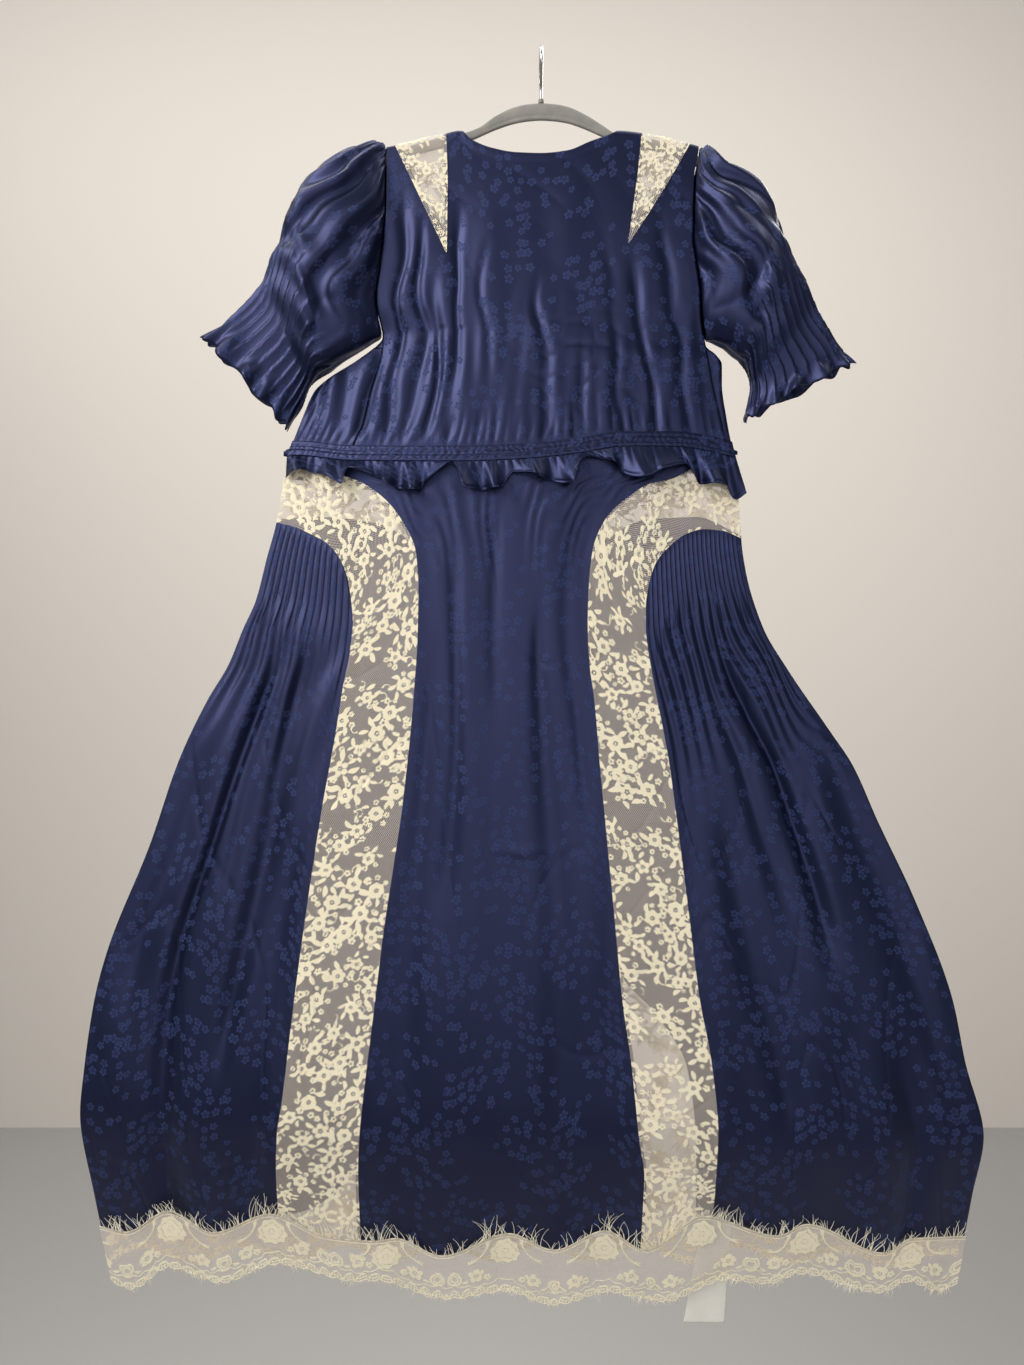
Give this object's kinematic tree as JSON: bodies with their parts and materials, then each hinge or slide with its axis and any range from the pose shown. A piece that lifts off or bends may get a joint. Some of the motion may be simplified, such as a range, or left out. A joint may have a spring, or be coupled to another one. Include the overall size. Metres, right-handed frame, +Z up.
{
  "type": "puff sleeve midi dress on a clothes hanger with a wall or rail hook",
  "caption": "Puff sleeve midi dress with a gathered waist, lace bands and a scalloped lace hem, hanging flat on a hanger with a hook.",
  "frame": {"origin": "inside of the hook's top, where a rail carries the hanger", "axes": "+Z up along the hanging dress, +X to the right and -Y towards a viewer of its back"},
  "size_m": [0.9594, 0.1081, 1.3874],
  "materials": {
    "satin": "dark blue satin with small woven flowers, which shines softly",
    "lace": "cream corded lace",
    "label": "plain off-white label",
    "hanger": "matt taupe",
    "steel": "bright steel wire"
  },
  "bodies": {
    "root": {"bodice_back": "satin", "bodice_left_side": "satin", "bodice_front": "satin", "sleeve_left": "satin", "sleeve_right": "satin", "casing_back": "satin", "casing_front": "satin", "ruffle_back": "satin", "ruffle_front": "satin", "skirt_back_centre": "satin", "skirt_back_left": "satin", "skirt_back_right": "satin", "skirt_front_centre": "satin", "skirt_front_left": "satin", "skirt_front_right": "satin", "inset_back_left": "lace", "inset_front_left": "lace", "inset_back_right": "lace", "inset_front_right": "lace", "lace_band_back_left": "lace", "lace_band_back_right": "lace", "lace_band_front_left": "lace", "lace_band_front_right": "lace", "hem_lace_back": "lace", "hem_lace_front": "lace", "eyelashes_top_back": "lace", "eyelashes_bottom_back": "lace", "eyelashes_top_front": "lace", "eyelashes_bottom_front": "lace", "care_label": "label", "hanger_body": "hanger", "hanger_collar": "hanger", "hanger_hook": "steel"}
  },
  "joints": []
}
